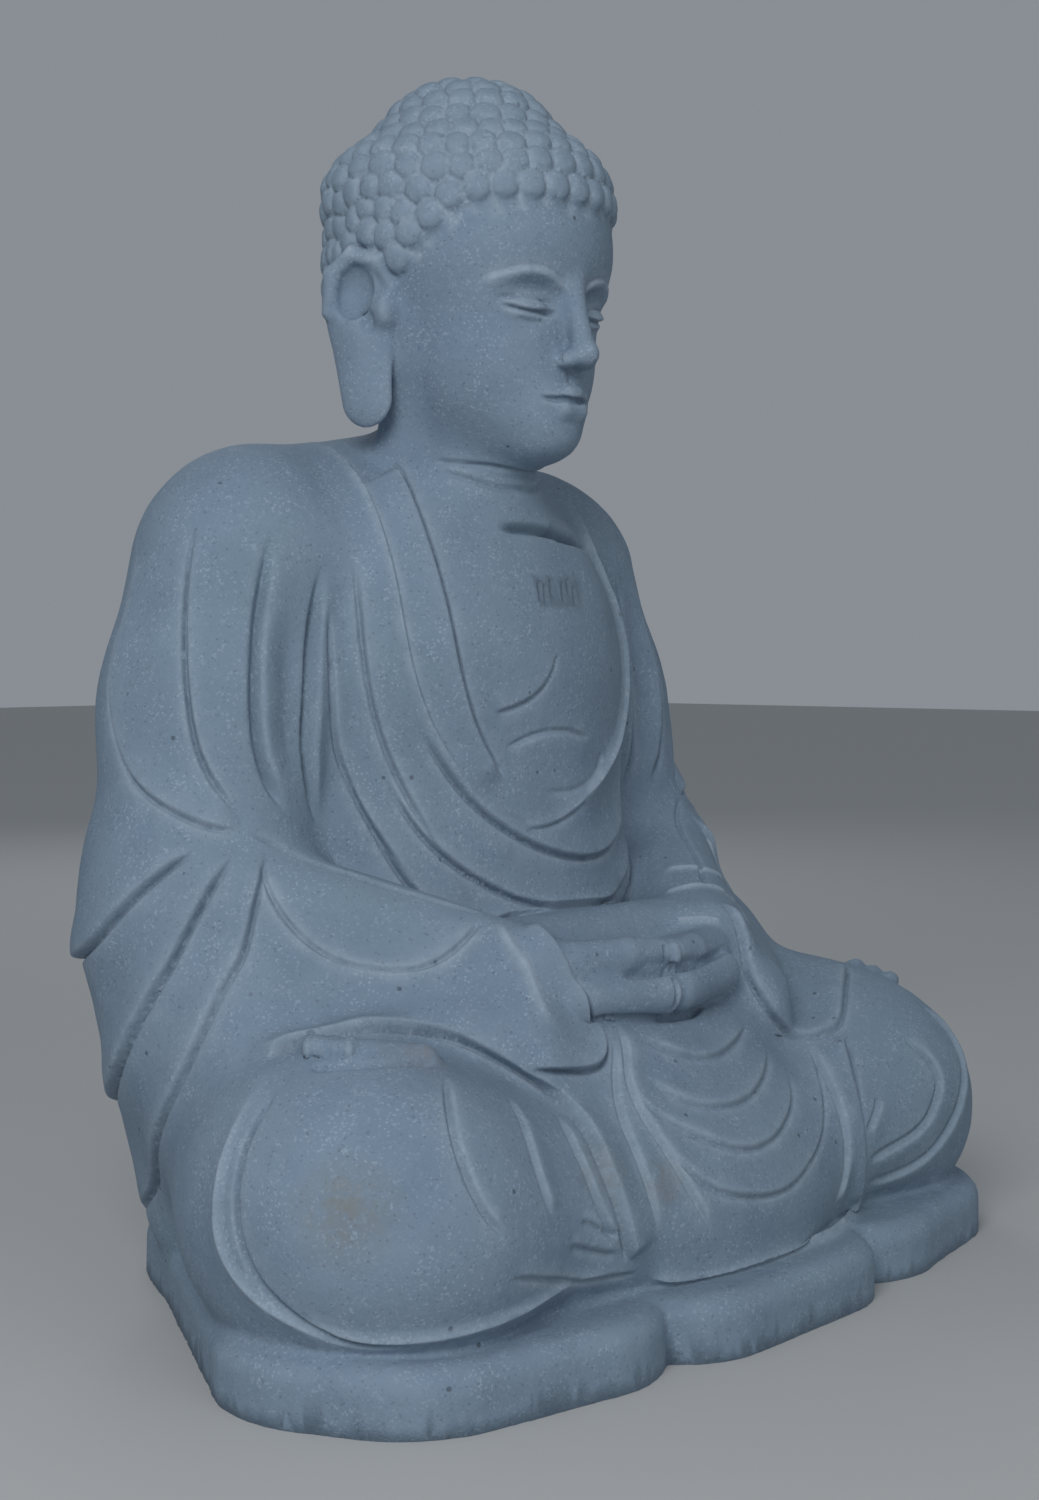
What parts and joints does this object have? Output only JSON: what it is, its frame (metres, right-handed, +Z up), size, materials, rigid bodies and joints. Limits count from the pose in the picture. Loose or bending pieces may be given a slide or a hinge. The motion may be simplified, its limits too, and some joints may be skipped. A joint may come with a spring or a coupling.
{
  "type": "seated buddha statue",
  "caption": "Carved stone figure seated cross-legged in meditation, hands laid together in the lap, in a draped robe with curled hair, on a low shaped base cut from the same block.",
  "frame": {"origin": "centre of the bounding box on the underside of the base, where the statue meets the ground", "axes": "+Z up, the figure faces -Y, +X towards the figure's own left"},
  "size_m": [0.664, 0.446, 0.8],
  "materials": {
    "stone": "rough weathered blue-grey stone, unpolished"
  },
  "bodies": {
    "root": {"seated_buddha": "stone"}
  },
  "joints": []
}
